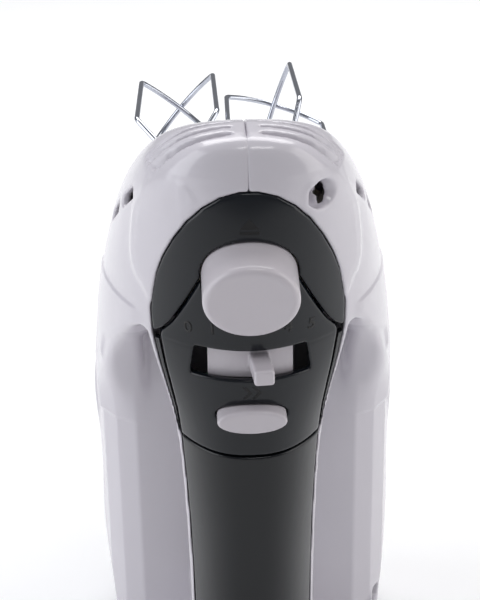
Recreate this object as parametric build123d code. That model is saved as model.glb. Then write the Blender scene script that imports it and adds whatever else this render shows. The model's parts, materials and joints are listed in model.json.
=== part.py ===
from build123d import *
import os
from math import sin, cos, tan, pi, radians, degrees, sqrt, atan

# Hand mixer standing on its heel. +Z is up, towards the nose. The handle and the
# controls face -Y, and the beaters point along +Y. X = 0 is the parting plane of
# the two housing halves. The origin is the centre of the flat heel.

# ---------------------------------------------------------------- dimensions
wall = 2.2                 # housing wall
body_length = 193.2        # heel to nose
axis_y = 28.0              # motor axis, parallel to Z at X = 0
spindle_x = 18.35          # half the distance between the beater axes
spindle_z = 141.2          # height of the beater axes above the heel
spindle_r = 5.0
bore_r = 2.80              # bore of the spindle
beater_shaft_r = 2.74      # 0.06 mm radial clearance in the spindle
beater_tip_y = 161.9
cage_r1 = 21.4             # cage radius at the shoulder
cage_r2 = 20.7             # cage radius at the tip bend
cage_side = 50.8
cage_dome = 8.1
cage_shoulder = 14.2
wire_r = 1.0
eject_tilt = 13.0          # degrees, the ejector button leans towards the handle
eject_travel = 6.0
turbo_travel = 2.5
slider_pivot_y = -17.0     # centre of the slider's curved track
slider_step = 9.9          # degrees between speed positions
slider_rest = 4.95         # the slider rests at position 3 of 0 to 5
slot_z = 129.1
worm_starts = 2
wheel_teeth = 24
wheel_pitch_r = 12.65
worm_pitch_r = spindle_x - wheel_pitch_r
tooth_depth = 1.15

os.makedirs("parts", exist_ok=True)
out = {}

def solid_of(s):
    s = s.solids() if hasattr(s, "solids") else s
    return s

def box(x0, x1, y0, y1, z0, z1):
    return Pos((x0 + x1) / 2, (y0 + y1) / 2, (z0 + z1) / 2) * Box(x1 - x0, y1 - y0, z1 - z0)

def cyl_z(x, y, z0, z1, r):
    return Pos(x, y, (z0 + z1) / 2) * Cylinder(r, z1 - z0)

def cyl_y(x, z, y0, y1, r):
    return Pos(x, (y0 + y1) / 2, z) * Rot(90, 0, 0) * Cylinder(r, y1 - y0)

def cyl_x(y, z, x0, x1, r):
    return Pos((x0 + x1) / 2, y, z) * Rot(0, 90, 0) * Cylinder(r, x1 - x0)

def prism_x(pts, x0, x1):
    # a polygon of (y, z) points, extruded along X
    f = Face(Wire(Polyline(*[(x0, y, z) for y, z in pts], close=True).edges()))
    return Solid.extrude(f, Vector(x1 - x0, 0, 0))

def prism_y(pts, y0, y1):
    # a polygon of (x, z) points, extruded along Y
    f = Face(Wire(Polyline(*[(x, y0, z) for x, z in pts], close=True).edges()))
    return Solid.extrude(f, Vector(0, y1 - y0, 0))

def prism_z(pts, z0, z1):
    f = Face(Wire(Polyline(*[(x, y, z0) for x, y in pts], close=True).edges()))
    return Solid.extrude(f, Vector(0, 0, z1 - z0))

# ---------------------------------------------------------------- body form
# One row per level: height, half width, y of the widest place, y at the control
# side, y at the beater side, exponent of the control side, exponent of the other.
levels = [
    (0.0, 42.0, 23, -47.0, 49.5, 1.85, 2.5),
    (2.5, 43.8, 23, -47.0, 51.4, 1.85, 2.5),
    (8.0, 45.2, 23, -47.0, 52.6, 1.85, 2.5),
    (25.0, 46.6, 23, -47.0, 53.8, 1.85, 2.5),
    (50.0, 47.7, 23, -47.0, 54.5, 1.85, 2.5),
    (80.0, 48.0, 23, -47.0, 54.5, 1.85, 2.5),
    (105.0, 46.9, 21, -47.0, 54.5, 1.85, 2.5),
    (125.0, 44.6, 17, -47.3, 54.0, 1.85, 2.5),
    (140.0, 42.2, 12, -48.0, 52.3, 1.85, 2.45),
    (153.0, 39.2, 6, -48.7, 46.2, 1.88, 2.4),
    (164.0, 35.8, 0, -49.0, 35.4, 1.95, 2.35),
    (173.0, 32.0, -7, -48.7, 22.0, 2.1, 2.3),
    (180.0, 28.0, -13.5, -47.8, 8.5, 2.3, 2.3),
    (185.0, 24.2, -19, -46.6, -3.5, 2.5, 2.3),
    (188.5, 20.2, -23.5, -45.3, -12.5, 2.6, 2.3),
    (191.0, 15.4, -28, -43.6, -20.0, 2.6, 2.3),
    (192.6, 9.8, -32, -41.0, -26.0, 2.4, 2.2),
    (193.2, 5.5, -34, -38.5, -29.5, 2.2, 2.1),
]

def superell(hw, ym, yt, yb, nt, nb, n=32):
    pts = []
    for k in range(n):
        a = 2 * pi * k / n
        c, s = cos(a), sin(a)
        if s >= 0:
            m, ry = nt, ym - yt
            x = hw * (abs(c) ** (2 / m)) * (1 if c >= 0 else -1)
            y = ym - ry * (abs(s) ** (2 / m))
        else:
            m, ry = nb, yb - ym
            x = hw * (abs(c) ** (2 / m)) * (1 if c >= 0 else -1)
            y = ym + ry * (abs(s) ** (2 / m))
        pts.append((x, y))
    return pts

def section(hw, ym, yt, yb, nt, nb, z):
    pts = [(x, y, z) for x, y in superell(hw, ym, yt, yb, nt, nb)]
    return Wire([Edge.make_spline([Vector(*p) for p in pts], periodic=True)])

def body_loft(t):
    secs = []
    for z, hw, ym, yt, yb, nt, nb in levels:
        k = max(0.0, (z - 130.0) / 63.2)
        zz = z - t * k ** 1.5
        if z == 0.0:
            zz = t if t else 0.0
        elif z < 9 and t:
            continue
        if t and z > 191.5:
            continue
        secs.append(section(hw - t, ym, yt + t, yb - t, nt, nb, zz))
    return Solid.make_loft(secs)

# Handle column: height, half width, y at the control side.
column = [
    (0.0, 15.6, -31.0, -20.0),
    (2.5, 17.0, -35.5, -22.5),
    (8.0, 17.9, -39.8, -24.5),
    (20.0, 18.5, -43.6, -26.5),
    (38.0, 18.8, -46.0, -27.8),
    (60.0, 19.1, -46.8, -28.3),
    (80.0, 19.8, -46.8, -28.6),
    (100.0, 21.3, -46.4, -29.0),
    (109.0, 22.9, -46.5, -29.3),
    (117.0, 24.8, -46.8, -29.6),
    (126.0, 27.0, -47.2, -30.0),
    (133.0, 28.5, -47.65, -30.2),
]
col_low, col_n = 12.0, 2.4

def column_loft(t):
    secs = []
    rows = column + ([(138.5, 25.0, -43.5, -27.0)] if t else [])
    for z, hw, yt, ye in rows:
        zz = z
        if z == 0.0 and t:
            zz = t
        elif z < 9 and t:
            continue
        h, top, edge = hw - t, yt + t, ye + 0.6 * t
        pts = []
        for k in range(0, 17):
            u = -cos(pi * k / 16)
            pts.append(Vector(h * u, edge + (top - edge) * (1 - abs(u) ** col_n), zz))
        top_e = Edge.make_spline(pts)
        a, b = Vector(h, col_low, zz), Vector(-h, col_low, zz)
        secs.append(Wire([top_e, Edge.make_line(pts[-1], a), Edge.make_line(a, b), Edge.make_line(b, pts[0])]))
    return Solid.make_loft(secs)

# Space for the hand: the front of it slopes, from the neck down to the motor housing.
motor_top_y = 2.0
def hand_space(g, x1):
    # everything on the control side of the motor housing, behind the head
    p = [(-90, -20), (motor_top_y + g, -20), (motor_top_y + g, 111 + g), (motor_top_y - 0.8 + g, 115.0 + g),
         (-1.5 + 0.6 * g, 119.0 + g), (-17.0, 127.0 + g), (-22.0, 131.2 + g), (-26.0, 133.0 + g), (-90, 133 + g)]
    return prism_x(p, -x1, x1)

def shoulder(g, side):
    p = [(34.7 - g, motor_top_y - 30), (34.7 - g, motor_top_y + g * 0.95), (41.0 - 0.6 * g, 5.6 + g * 0.8),
         (45.6 - 0.9 * g, 12.5 + g * 0.4), (47.5 - g, 20.0), (70, 20.0), (70, motor_top_y - 30)]
    return prism_z([(side * x, y) for x, y in p], -20, 111 + g)

def finger_gap(g):
    r0, r1 = -20.4 - g, motor_top_y + 1.0
    top = 142.0
    p = [(r0, 44 - g), (r0 + 1.0, 39.0 - g), (r0 + 3.6, 35.2 - g), (r0 + 8.0, 32.6 - g), (-4.0, 31.0 - g), (13.0, 30.0 - g), (13.0, top), (r0, top)]
    return prism_x(p, -40, 40)

def skin_solid(t):
    f = body_loft(t) - hand_space(t, 70) - shoulder(t, 1) - shoulder(t, -1)
    h = column_loft(t) - finger_gap(t)
    return f + h

outer = skin_solid(0)
inner = skin_solid(wall)
shell = outer - inner

# ---------------------------------------------------------------- outlines (x, z)
upper_right = [(7.6, 177.8), (13.7, 173.1), (19.2, 165.9), (23.1, 158.2), (25.6, 151.9), (26.95, 144.8), (27.35, 139.4), (27.0, 133.6)]
groove_right = [(24.9, 134.4), (21.2, 139.2), (17.1, 146.9), (13.3, 154.2)]
trim_outer = [(26.9, 132.3), (25.4, 124.0), (23.8, 116.6), (22.0, 109.0), (20.5, 100.2)]
trim_inner = [(24.7, 132.0), (23.6, 124.0), (22.2, 116.6), (20.8, 109.0), (19.9, 100.2)]
grip_right = [(19.9, 99.9), (18.95, 86.0), (18.15, 70.0), (17.75, 54.0), (17.5, 38.0), (17.0, 29.0), (15.7, 23.2), (13.3, 19.0), (9.6, 16.1), (5.0, 14.7)]

def mirrored(pts):
    return [(-x, z) for x, z in reversed(pts)]

def outline(pts, grow, y0, y1):
    # both sides of a right-hand outline, moved out by grow (in for a negative number)
    full = pts + mirrored(pts)
    n = len(full)
    res = []
    for k in range(n):
        a, b, c = full[k - 1], full[k], full[(k + 1) % n]
        if abs(b[0] - c[0]) + abs(b[1] - c[1]) < 1e-6:
            continue
        if abs(a[0] - b[0]) + abs(a[1] - b[1]) < 1e-6:
            a = full[k - 2]
        d1 = (b[0] - a[0], b[1] - a[1])
        d2 = (c[0] - b[0], c[1] - b[1])
        l1, l2 = sqrt(d1[0] ** 2 + d1[1] ** 2), sqrt(d2[0] ** 2 + d2[1] ** 2)
        n1, n2 = (-d1[1] / l1, d1[0] / l1), (-d2[1] / l2, d2[0] / l2)
        m = 1 + n1[0] * n2[0] + n1[1] * n2[1]
        # the outline runs clockwise, so its left-hand normal points out
        res.append((b[0] + grow * (n1[0] + n2[0]) / m, b[1] + grow * (n1[1] + n2[1]) / m))
    return prism_y(res, y0, y1)

gap = 0.12
upper_pts = [(2.6, 179.6), (7.6, 178.1), (12.2, 175.0), (16.4, 170.4), (20.0, 164.6), (23.1, 158.2), (25.4, 152.0), (26.7, 146.0), (27.3, 140.0), (27.0, 133.6)] + groove_right
lower_pts = [(13.3, 154.2), (17.1, 146.9), (21.2, 139.2), (24.9, 134.4)] + trim_inner
middle_pts = [(13.0, 155.0), (17.1, 146.9), (21.2, 139.2), (24.9, 134.4), (27.0, 133.7)] + trim_outer + [(19.9, 99.8)]
reg_up = outline(upper_pts, -gap, -70, -25.0)
reg_lo = outline(lower_pts, -gap, -70, -25.5)
reg_grip = outline(grip_right, -gap, -70, -27.5)
trim_a = [(26.75, 132.0), (25.25, 124.0), (23.65, 116.6), (21.85, 109.0), (20.5, 101.0)]
trim_b = [(24.95, 131.75), (23.85, 124.0), (22.4, 116.6), (21.0, 109.0), (20.15, 101.0)]
def trim_region(side):
    return prism_y([(side * x, z) for x, z in trim_a + list(reversed(trim_b))], -70, -25.0)
cut_up = outline(upper_pts, 0.0, -70, -24.7)
cut_mid = outline(middle_pts, 0.0, -70, -24.7)
cut_grip = outline(grip_right, 0.0, -70, -27.2)

# ---------------------------------------------------------------- ejector button frame
tl = radians(eject_tilt)
ej_n = Vector(0, -cos(tl), -sin(tl))
ej_z = 152.2
ej_plane = Plane(origin=(0, -58.0, ej_z), x_dir=(1, 0, 0), z_dir=ej_n)
def oval(plane, a, b, depth, front=0.0):
    return extrude(plane.offset(front) * Ellipse(a, b), -depth)
eject_hole = oval(ej_plane, 13.35, 11.65, 20.0)

# ---------------------------------------------------------------- screws (y, z, recess floor, recess radius)
screws = [(-40.0, 176.0, 11.5, 3.7), (46.5, 118.5, 26.0, 3.4), (45.5, 14.0, 26.0, 3.4), (10.0, 13.0, 26.0, 3.4), (-34.0, 26.5, 9.0, 3.3)]
boss_end = [18.6, 32.0, 34.0, 42.0, 13.6]

# Curved air slots across the nose: middle line of each as (x, y), from the parting rib outwards
vent_w = 1.3
vent_lines = [
    [(4.2, -38.3), (9.0, -38.1), (14.0, -37.3), (19.0, -35.4), (22.8, -32.2), (26.2, -27.6)],
    [(4.2, -33.3), (9.0, -33.2), (14.0, -32.6), (19.0, -31.2), (22.9, -28.5), (26.6, -24.4)],
    [(4.2, -28.2), (9.0, -28.3), (14.0, -28.0), (19.0, -27.0), (23.0, -24.9), (27.0, -21.2)],
]
def band(line, w, side):
    left, right = [], []
    n = len(line)
    for k in range(n):
        a, b = line[max(k - 1, 0)], line[min(k + 1, n - 1)]
        dx, dy = b[0] - a[0], b[1] - a[1]
        l = sqrt(dx * dx + dy * dy)
        nx, ny = -dy / l * w / 2, dx / l * w / 2
        left.append((side * (line[k][0] + nx), line[k][1] + ny))
        right.append((side * (line[k][0] - nx), line[k][1] - ny))
    return left + right[::-1]

def vents(side):
    v = None
    for line in vent_lines:
        s = prism_z(band(line, vent_w, side), 174, 196)
        v = s if v is None else v + s
    # a row of slanting openings down each flank
    for y, z in [(-15.0, 167.8), (-2.0, 158.8), (11.0, 151.0)]:
        s = Pos(side * 40, y, z) * Rot(-35, 0, 0) * Box(22, 10.5, 3.2)
        v = v + s
    return v

# round bosses around the two beater ports
port_boss = None
for sx in (-1, 1):
    b = cyl_y(sx * spindle_x, spindle_z, 42.0, 52.2, 8.6)
    port_boss = b if port_boss is None else port_boss + b

ribs = (inner & box(-60, 60, 3, 60, 66, 68)) + (inner & box(-60, 60, 3, 60, 86, 88))
ribs = ribs - cyl_z(0, axis_y, 60, 90, 21.15)

bosses = None
for (y, z, xr, rr), xe in zip(screws, boss_end):
    b = cyl_x(y, z, -xe, xe, rr + 1.4)
    bosses = b if bosses is None else bosses + b

body = shell + port_boss
body = body + ribs + bosses
body = body - vents(1) - vents(-1)
for y, z, xr, rr in screws:
    body = body - cyl_x(y, z, xr, 62, rr) - cyl_x(y, z, -1, xr + 1, 1.75) - cyl_x(y, z, -12.2, 0, 1.45)
for sx in (-1, 1):
    body = body - cyl_y(sx * spindle_x, spindle_z, 30, 60, 5.6)
gland_z, gland_r, cord_r = 7.6, 5.6, 3.6
body = body - cut_up - cut_mid - cut_grip - eject_hole
body = body - cyl_y(0, gland_z, -60, -20, gland_r + 0.05) - cyl_y(0, gland_z, -60, -40.9, gland_r + 0.98)
print("body solids", [round(s.volume, 1) for s in body.solids()])
half_gap = 0.01
hr = body & box(half_gap, 80, -80, 80, -5, 210)
hl = body & box(-80, -half_gap, -80, 80, -5, 210)
out["housing_right"] = max(hr.solids(), key=lambda s: s.volume)
out["housing_left"] = max(hl.solids(), key=lambda s: s.volume)
print("right", [round(s.volume, 1) for s in hr.solids()], "left", [round(s.volume, 1) for s in hl.solids()])

slot_pts = [(-15.4, slot_z + 4.5), (15.4, slot_z + 4.5), (16.7, slot_z - 4.5), (-16.7, slot_z - 4.5)]
slot_cut = prism_y(slot_pts, -70, -25)
turbo_c = 113.0
turbo_plane = Plane(origin=(0, -50.4, turbo_c), x_dir=(1, 0, 0), z_dir=(0, -1, 0))
turbo_hole = extrude(turbo_plane.offset(5) * Ellipse(10.05, 4.0), -20)
lens = shell
p = (lens & reg_up) - eject_hole
print("upper", [round(s.volume, 1) for s in p.solids()])
out["upper_panel"] = max(p.solids(), key=lambda s: s.volume)
p = (lens & reg_lo) - eject_hole - slot_cut - turbo_hole
print("lower", [round(s.volume, 1) for s in p.solids()])
out["lower_panel"] = max(p.solids(), key=lambda s: s.volume)
for nm, sd in (("side_trim_right", 1), ("side_trim_left", -1)):
    p = lens & trim_region(sd)
    print(nm, [round(s.volume, 1) for s in p.solids()])
    out[nm] = max(p.solids(), key=lambda s: s.volume)
p = (lens & reg_grip) - cyl_x(-34.0, 26.5, -12.6, 11.75, 3.4)
print("grip", [round(s.volume, 1) for s in p.solids()])
out["handle_grip"] = max(p.solids(), key=lambda s: s.volume)


# ---------------------------------------------------------------- controls
btn = oval(ej_plane, 13.0, 11.3, 15.5)
btn = fillet(btn.edges().sort_by(lambda e: (e.center() - Vector(0, -58, ej_z)).length)[0], 2.0)
out["eject_button"] = btn

tb = extrude(turbo_plane * Ellipse(9.75, 3.7), -9.6)
tb = fillet(tb.edges().sort_by(Axis.Y)[0], 0.9)
tb = tb + cyl_y(0, turbo_c, -41.5, -40.6, 2.2)
out["turbo_button"] = tb

def arc_band(r0, r1, a0, a1, z0, z1):
    # band about the slider's pivot axis; angles in degrees from -Y towards +X
    n = 14
    def p(r, a):
        return (r * sin(radians(a)), slider_pivot_y - r * cos(radians(a)))
    pts = [p(r1, a0 + (a1 - a0) * k / n) for k in range(n + 1)] + [p(r0, a1 - (a1 - a0) * k / n) for k in range(n + 1)]
    return prism_z(pts, z0, z1)

lever = box(-2.8, 2.8, slider_pivot_y - 38.4, slider_pivot_y - 26.0, slot_z - 2.3, slot_z + 2.3)
lever = fillet(lever.edges().filter_by(Axis.Y) + lever.faces().sort_by(Axis.Y)[0].edges(), 0.8)
lever = Pos(0, slider_pivot_y, 0) * Rot(0, 0, slider_rest) * Pos(0, -slider_pivot_y, 0) * lever
shield = arc_band(25.2, 26.6, -27, 27, slot_z - 5.4, slot_z + 5.4)
sl = shield + lever
sl = sl + Pos(0, slider_pivot_y, 0) * Rot(0, 0, slider_rest) * Pos(0, -slider_pivot_y, 0) * box(-1.2, 1.2, slider_pivot_y - 25.6, slider_pivot_y - 24.0, slot_z - 2, slot_z + 2)
out["speed_slider"] = max(sl.solids(), key=lambda s: s.volume)

out["speed_switch"] = box(-9, 9, -38.3, -30.0, 123.6, 134.6) - box(-7, 7, -38.4, -37.2, 127.6, 130.6)
out["turbo_switch"] = box(-5, 5, -37.6, -30.0, 108.5, 118.0) + cyl_y(0, turbo_c, -37.9, -37.5, 1.2)
out["control_board"] = box(-12, 12, -30.0, -28.4, 104.0, 137.0)

# ---------------------------------------------------------------- cord inlet
gl = cyl_y(0, gland_z, -43.0, -34.0, gland_r) + cyl_y(0, gland_z, -43.0, -41.0, gland_r + 0.9)
gl = gl - cyl_y(0, gland_z, -45, -33, cord_r)
out["cord_inlet_bush"] = gl

# ---------------------------------------------------------------- motor
yc = axis_y
stator = cyl_z(0, yc, 62, 92, 21.1) - cyl_z(0, yc, 61, 93, 13.4)
for sx in (-1, 1):
    stator = stator - box(sx * 12.0 - 3.2, sx * 12.0 + 3.2, yc - 13.6, yc + 13.6, 61, 93)
out["motor_stator"] = max(stator.solids(), key=lambda s: s.volume)
coils = None
for sy in (-1, 1):
    # the winding heads at both ends of the stack
    for z0, z1 in ((54.0, 61.8), (92.2, 99.0)):
        c = (cyl_z(0, yc, z0, z1, 19.0) - cyl_z(0, yc, z0 - 1, z1 + 1, 14.4)) & box(-15, 15, yc + (3 if sy > 0 else -30), yc + (30 if sy > 0 else -3), z0, z1)
        coils = c if coils is None else coils + c
out["field_coils"] = coils
rotor = cyl_z(0, yc, 63, 91, 12.9) - cyl_z(0, yc, 60, 95, 2.5)
for k in range(10):
    a = 2 * pi * k / 10
    rotor = rotor - Pos(12.4 * cos(a), yc + 12.4 * sin(a), 77) * Rot(0, 0, degrees(a)) * Box(3.2, 1.6, 30)
out["rotor_core"] = rotor
wind = (cyl_z(0, yc, 91.0, 96.5, 10.2) - cyl_z(0, yc, 90, 98, 2.5)) + (cyl_z(0, yc, 57.5, 63.0, 10.2) - cyl_z(0, yc, 56, 64, 2.5))
out["rotor_winding"] = wind
com = cyl_z(0, yc, 40, 53, 8.0) - cyl_z(0, yc, 39, 54, 2.5)
for k in range(20):
    a = 2 * pi * k / 20
    com = com - Pos(8.0 * cos(a), yc + 8.0 * sin(a), 46.5) * Rot(0, 0, degrees(a)) * Box(1.4, 0.5, 14)
out["commutator"] = com
out["motor_shaft"] = cyl_z(0, yc, 24.0, 157.5, 2.5)
fan = cyl_z(0, yc, 103, 105, 17.0) + cyl_z(0, yc, 103, 113, 4.4)
for k in range(11):
    a = 360 * k / 11
    fan = fan + Pos(0, yc, 108) * Rot(0, 0, a) * Pos(11.2, 0, 0) * Rot(0, 0, 28) * Box(10.4, 1.0, 7)
fan = fan - cyl_z(0, yc, 100, 115, 2.5)
out["cooling_fan"] = max(fan.solids(), key=lambda s: s.volume)
out["rear_bearing"] = cyl_z(0, yc, 27.0, 32.0, 6.0) - cyl_z(0, yc, 26, 33, 2.54)
br = box(-18, 18, yc - 8, yc + 8, 26.5, 33.0) - cyl_z(0, yc, 26.9, 34, 6.0) - cyl_z(0, yc, 26, 28, 4.0)
for sx in (-1, 1):
    br = br + box(sx * 16 - 2, sx * 16 + 2, yc - 2.8, yc + 2.8, 32, 61.8)
out["motor_bracket"] = br
bh, cb = None, None
for sx in (-1, 1):
    h = box(min(sx * 9.0, sx * 14.0), max(sx * 9.0, sx * 14.0), yc - 3.2, yc + 3.2, 42.8, 50.2) - box(min(sx * 8.0, sx * 14.2), max(sx * 8.0, sx * 14.2), yc - 2.05, yc + 2.05, 44.0, 49.0)
    bh = h if bh is None else bh + h
    c = box(min(sx * 8.15, sx * 13.5), max(sx * 8.15, sx * 13.5), yc - 2.0, yc + 2.0, 44.05, 48.95)
    cb = c if cb is None else cb + c
out["brush_holders"] = bh
out["carbon_brushes"] = cb

# ---------------------------------------------------------------- gear drive
def gear_plate(y0, y1):
    p = box(-20, 20, y0, y1, 132, 150)
    for sx in (-1, 1):
        p = p + cyl_y(sx * spindle_x, spindle_z, y0, y1, 9.0)
    return p
upper_y0, upper_y1 = 14.0, 17.5
lower_y0, lower_y1 = 36.4, 39.6
fr = gear_plate(upper_y0, upper_y1) + gear_plate(lower_y0, lower_y1) + box(-20, 20, upper_y0, lower_y1, 119.5, 125.5)
for y0, y1 in ((upper_y0, upper_y1), (lower_y0, lower_y1)):
    fr = fr + box(-20, 20, y0, y1, 125, 133)
fr = fr + box(-6.5, 6.5, upper_y0, upper_y1, 149, 157.0) + box(-6.5, 6.5, upper_y1 - 0.1, yc + 6.5, 152.5, 157.0)
fr = fr - cyl_z(0, yc, 121.0, 130, 6.0) - cyl_z(0, yc, 118, 122, 4.0) - cyl_z(0, yc, 150, 160, 2.56)
for sx in (-1, 1):
    fr = fr - cyl_y(sx * spindle_x, spindle_z, 10, 45, spindle_r + 0.06)
out["gearbox_frame"] = max(fr.solids(), key=lambda s: s.volume)
out["front_bearing"] = cyl_z(0, yc, 121.0, 125.5, 6.0) - cyl_z(0, yc, 120, 127, 2.54)

lead = worm_starts * 2 * pi * wheel_pitch_r / wheel_teeth
lead_angle = atan(lead / (2 * pi * worm_pitch_r))
w_root, w_tip = worm_pitch_r - tooth_depth * 0.62, worm_pitch_r + tooth_depth * 0.5
worm_z0, worm_z1 = 132.2, 150.2
def worm_profile():
    # section across the axis: two lobes, each a quarter of the turn wide at mid height
    pts = []
    n = 72
    for k in range(n):
        a = 360 * k / n
        d = min(abs((a + 180) % 360 - 180), abs((a - 180 + 180) % 360 - 180))
        t0, t1 = 24.0, 50.0
        if d <= t0:
            r = w_tip
        elif d >= t1:
            r = w_root
        else:
            r = w_tip + (w_root - w_tip) * (d - t0) / (t1 - t0)
        pts.append((r * cos(radians(a)), r * sin(radians(a))))
    return pts
zlen = worm_z1 - worm_z0
turns = zlen / lead
wp = worm_profile()
f = Face(Wire([Edge.make_spline([Vector(x, y, 0) for x, y in wp], periodic=True)]))
screw = Solid.extrude_linear_with_rotation(f, Vector(0, 0, 0), Vector(0, 0, zlen), 360 * turns)
# turn the screw so that a crest faces +X at the height of the spindles
phase = 360 * (spindle_z - worm_z0) / lead
screw = Pos(0, yc, worm_z0) * Rot(0, 0, -phase) * screw
screw = screw - cyl_z(0, yc, worm_z0 - 1, worm_z1 + 1, 2.5)
out["drive_worm"] = max(screw.solids(), key=lambda s: s.volume)

g_root, g_tip = wheel_pitch_r - tooth_depth * 0.62, wheel_pitch_r + tooth_depth * 0.42
face_w = 7.4
def wheel_profile():
    pts = []
    pitch = 360 / wheel_teeth
    for k in range(wheel_teeth):
        c = pitch * (k + 0.5)
        for da, r in ((-0.36, g_root), (-0.27, g_root + 0.1), (-0.13, g_tip), (0.13, g_tip), (0.27, g_root + 0.1), (0.36, g_root)):
            a = radians(c + da * pitch)
            pts.append((r * cos(a), r * sin(a)))
    return pts
twist = degrees(tan(lead_angle) / wheel_pitch_r * face_w)
for nm, sx in (("right", 1), ("left", -1)):
    f = Face(Wire(Polyline(*[(x, y, 0) for x, y in wheel_profile()], close=True).edges()))
    g = Solid.extrude_linear_with_rotation(f, Vector(0, 0, 0), Vector(0, 0, face_w), twist)
    # local z becomes +Y, local x stays +X
    g = Rot(0, 0, -twist / 2) * g
    g = Pos(sx * spindle_x, yc - face_w / 2, spindle_z) * Rot(-90, 0, 0) * g
    g = g - cyl_y(sx * spindle_x, spindle_z, 10, 50, spindle_r)
    for k in range(6):
        a = radians(60 * k)
        g = g - cyl_y(sx * spindle_x + 8.3 * cos(a), spindle_z + 8.3 * sin(a), 10, 50, 1.9)
    out[f"worm_wheel_{nm}"] = max(g.solids(), key=lambda s: s.volume)
    x = sx * spindle_x
    sp = cyl_y(x, spindle_z, 11.5, 50.5, spindle_r) - cyl_y(x, spindle_z, 10, 52, bore_r)
    sp = sp - cyl_y(x, spindle_z, 49.5, 51, 3.6)
    sp = sp - box(x - 0.9, x + 0.9, 41.0, 52, spindle_z - 6, spindle_z + 6)
    out[f"spindle_{nm}"] = max(sp.solids(), key=lambda s: s.volume)
    pin = cyl_y(x, spindle_z, -0.6, 22.0, 2.72) + cyl_y(x, spindle_z, -2.7, 0.6, 4.2)
    out[f"ejector_pin_{nm}"] = pin

# ---------------------------------------------------------------- ejector
pl = box(-23, 23, -6.0, -2.9, 136.5, 146.0)
pl = pl + box(-4, 4, -39.9, -2.9, 146.0, 157.0) + box(-4, 4, -6.0, -2.9, 145.5, 157) + box(-2, 2, -30, -5, 138, 146.5)
out["ejector_plate"] = pl
sp_r, sp_w, sp_x = 3.4, 0.45, 0.0
for nm, sx in (("eject_spring", 0),):
    hx = Helix(pitch=2.55, height=14.2, radius=sp_r)
    prof = Plane(origin=hx @ 0, z_dir=hx % 0) * Circle(sp_w)
    coil = sweep(prof, path=hx, is_frenet=True)
    coil = Pos(0, 13.4, spindle_z) * Rot(90, 0, 0) * coil
    out["eject_spring"] = coil
hx = Helix(pitch=0.95, height=1.9, radius=3.0)

# ---------------------------------------------------------------- screws
scr = None
for y, z, xr, rr in screws:
    s = cyl_x(y, z, xr, xr + 2.0, rr - 0.5) + cyl_x(y, z, -12.0, xr + 0.5, 1.4)
    s = s - box(xr + 1.2, xr + 2.2, y - 0.45, y + 0.45, z - 2.0, z + 2.0) - box(xr + 1.2, xr + 2.2, y - 2.0, y + 2.0, z - 0.45, z + 0.45)
    scr = s if scr is None else scr + s
out["housing_screws"] = scr

# ---------------------------------------------------------------- beaters
h_tip = beater_tip_y
hub_y = h_tip - cage_dome - cage_side - cage_shoulder
def loop(x, ang, drop, part):
    r1, r2 = cage_r1 - wire_r, cage_r2 - wire_r
    y3 = h_tip - wire_r - drop
    y2 = y3 - cage_dome + drop
    y1 = y2 - cage_side
    y0 = hub_y
    dome = y3 - y2
    rad = (r2 * r2 + dome * dome) / (2 * dome)
    a0 = degrees(math_asin(r2 / rad))
    arc = [(rad * sin(radians(a)), y3 - rad + rad * cos(radians(a))) for a in (a0 * 0.62, a0 * 0.21, -a0 * 0.21, -a0 * 0.62)]
    pr = [(1.8, y0 - 2.0), (r1, y1), (r2, y2)] + arc + [(-r2, y2), (-r1, y1), (-1.8, y0 - 2.0)]
    ca, sa = cos(radians(ang)), sin(radians(ang))
    P3 = [Vector(x + r * ca, y, spindle_z + r * sa) for r, y in pr]
    path = FilletPolyline(*P3, radius=[4.0, 3.2, rad * 0.9, rad * 0.9, rad * 0.9, rad * 0.9, 3.2, 4.0])
    sec = Plane(origin=P3[0], z_dir=(P3[1] - P3[0])) * Circle(wire_r)
    return sweep(sec, path=path)
def math_asin(v):
    from math import asin
    return asin(v)
for nm, sx, ang in (("right", 1, -17.7), ("left", -1, 49.6)):
    x = sx * spindle_x
    shaft = cyl_y(x, spindle_z, 22.1, hub_y - 2.0, beater_shaft_r)
    hub = cyl_y(x, spindle_z, hub_y - 5.0, hub_y + 3.0, 4.1)
    hub = chamfer(hub.edges().sort_by(Axis.Y)[0], 0.8) 
    hub = fillet(hub.edges().sort_by(Axis.Y)[-1], 1.6)
    sh = shaft + hub
    for k in (0, 90):
        sh = sh + Pos(x, 47.0, spindle_z) * Rot(0, k, 0) * Box(1.5 if k == 0 else 1.5, 3.4, 8.2) if k == 0 else sh
    out[f"beater_shaft_{nm}"] = sh
    out[f"beater_collar_{nm}"] = fillet(cyl_y(x, spindle_z, 52.8, 57.0, 6.0).edges(), 0.8) - cyl_y(x, spindle_z, 50, 60, beater_shaft_r)
    for k, letter, drop in ((0, "a", 0.0), (90, "b", 2.15)):
        w = loop(x, ang + k, drop, k)
        w = w - hub - cyl_y(x, spindle_z, hub_y - 6, hub_y + 2.9, 4.1)
        sols = w.solids()
        out[f"beater_wire_{nm}_{letter}"] = max(sols, key=lambda s: s.volume)

for n, s in out.items():
    export_step(s, f"parts/{n}.step")
print(len(out), "nodes")
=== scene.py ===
import bpy
import json
import math
import numpy as np
import openvdb as vdb
from mathutils import Matrix, Vector
from mathutils.bvhtree import BVHTree


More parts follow.
